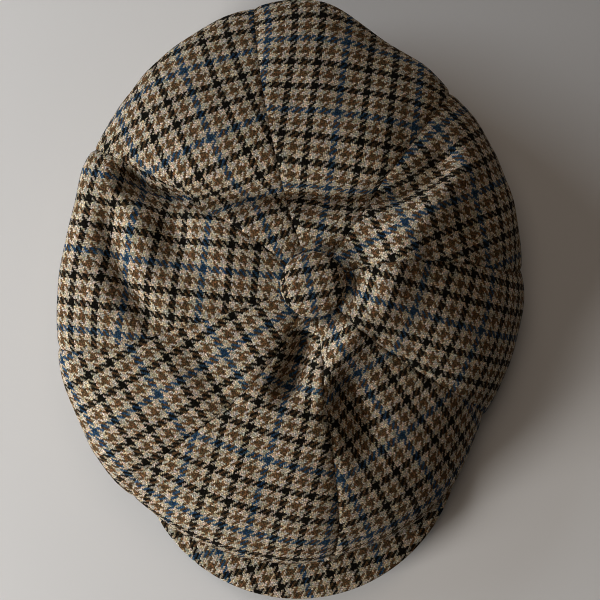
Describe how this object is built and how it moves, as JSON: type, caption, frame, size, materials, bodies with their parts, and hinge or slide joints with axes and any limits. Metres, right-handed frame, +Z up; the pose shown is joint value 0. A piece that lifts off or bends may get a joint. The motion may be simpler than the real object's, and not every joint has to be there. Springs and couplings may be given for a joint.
{
  "type": "baker boy cap",
  "caption": "Soft panelled tweed cap with a full, floppy crown, covered button, head band and short stiff peak, standing as set down.",
  "frame": {"origin": "on the surface that the cap stands on, under the middle of its outline", "axes": "+Z up, -Y towards the peak, whose middle is turned 10 degrees towards +X, and +X to the left of a person wearing it"},
  "size_m": [0.2626, 0.3374, 0.0874],
  "materials": {
    "crown_tweed": "woollen twill in a brown, cream, navy and blue houndstooth",
    "button_tweed": "woollen twill in a brown, cream, navy and blue houndstooth, stretched over a button",
    "band_tweed": "woollen twill in a brown, cream, navy and blue houndstooth",
    "peak_tweed": "woollen twill in a brown, cream, navy and blue houndstooth, drawn over a stiff card"
  },
  "bodies": {
    "root": {"crown_panel_1": "crown_tweed", "crown_panel_2": "crown_tweed", "crown_panel_3": "crown_tweed", "crown_panel_4": "crown_tweed", "crown_panel_5": "crown_tweed", "crown_panel_6": "crown_tweed", "crown_panel_7": "crown_tweed", "crown_panel_8": "crown_tweed", "button": "button_tweed", "band": "band_tweed", "peak": "peak_tweed"}
  },
  "joints": []
}
